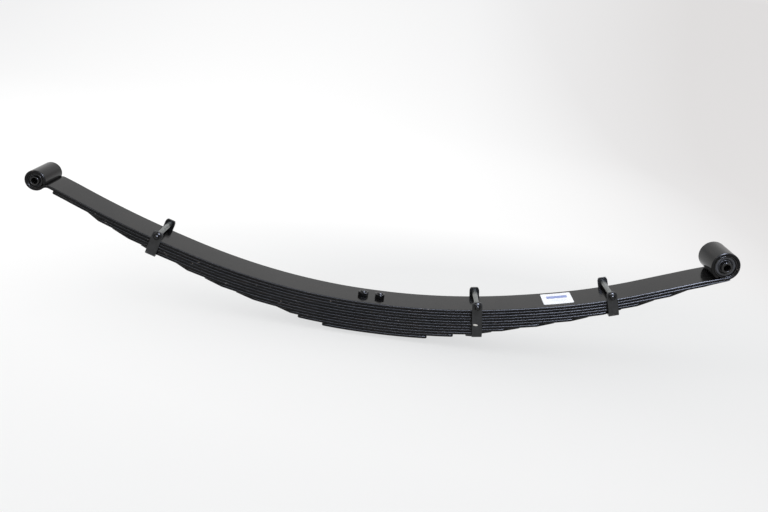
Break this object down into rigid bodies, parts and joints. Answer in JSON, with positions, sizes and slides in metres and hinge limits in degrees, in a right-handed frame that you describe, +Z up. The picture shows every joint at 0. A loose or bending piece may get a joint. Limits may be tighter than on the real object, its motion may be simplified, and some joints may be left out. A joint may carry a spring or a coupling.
{
  "type": "leaf spring",
  "caption": "Semi-elliptic multi-leaf suspension spring with graduated leaves, bolted rebound clips and rubber-bushed eyes.",
  "frame": {"origin": "centre of the axle seat: underside of the shortest leaf, midway between the two centre bolts", "axes": "+X along the spring towards the larger, fixed front eye; +Y across the leaves; +Z up, towards the eyes, square to the axle seat"},
  "size_m": [1.4438, 0.0997, 0.2905],
  "materials": {
    "spring_paint": "semi-gloss black enamel over hot-rolled spring steel",
    "black_fastener": "black oxide, satin",
    "plated_steel": "dull zinc-plated steel",
    "bush_rubber": "moulded black rubber",
    "label_stock": "satin printed label"
  },
  "bodies": {
    "spring_pack": {"leaf_01_main": "spring_paint", "leaf_02_wrapper": "spring_paint", "leaf_03": "spring_paint", "leaf_04": "spring_paint", "leaf_05": "spring_paint", "leaf_06": "spring_paint", "leaf_07": "spring_paint", "leaf_08": "spring_paint", "leaf_09": "spring_paint", "leaf_10": "spring_paint", "leaf_11": "spring_paint", "clip_rear_strap": "spring_paint", "clip_mid_strap": "spring_paint", "clip_front_strap": "spring_paint", "clip_rear_bolt": "black_fastener", "clip_rear_nut": "black_fastener", "clip_rear_rivet": "black_fastener", "clip_mid_bolt": "black_fastener", "clip_mid_nut": "black_fastener", "clip_mid_rivet": "black_fastener", "clip_front_bolt": "black_fastener", "clip_front_nut": "black_fastener", "clip_front_rivet": "black_fastener", "centre_bolt_rear": "black_fastener", "centre_bolt_front": "black_fastener", "centre_nut_rear": "black_fastener", "centre_nut_front": "black_fastener", "clip_rear_spacer": "plated_steel", "clip_mid_spacer": "plated_steel", "clip_front_spacer": "plated_steel", "front_bush_shell": "plated_steel", "rear_bush_shell": "plated_steel", "front_bush_rubber": "bush_rubber", "rear_bush_rubber": "bush_rubber", "label": "label_stock"},
    "front_sleeve": {"front_bush_sleeve": "plated_steel"},
    "rear_sleeve": {"rear_bush_sleeve": "plated_steel"}
  },
  "joints": [
    {"name": "front_eye_twist", "type": "hinge", "parent": "spring_pack", "child": "front_sleeve", "pos_m": [0.7065, 0, 0.25241], "axis": [0, 1, 0], "range_deg": [-18, 18], "stiffness_Nm_per_rad": 60},
    {"name": "rear_eye_twist", "type": "hinge", "parent": "spring_pack", "child": "rear_sleeve", "pos_m": [-0.68686, 0, 0.23042], "axis": [0, 1, 0], "range_deg": [-20, 20], "stiffness_Nm_per_rad": 40}
  ]
}
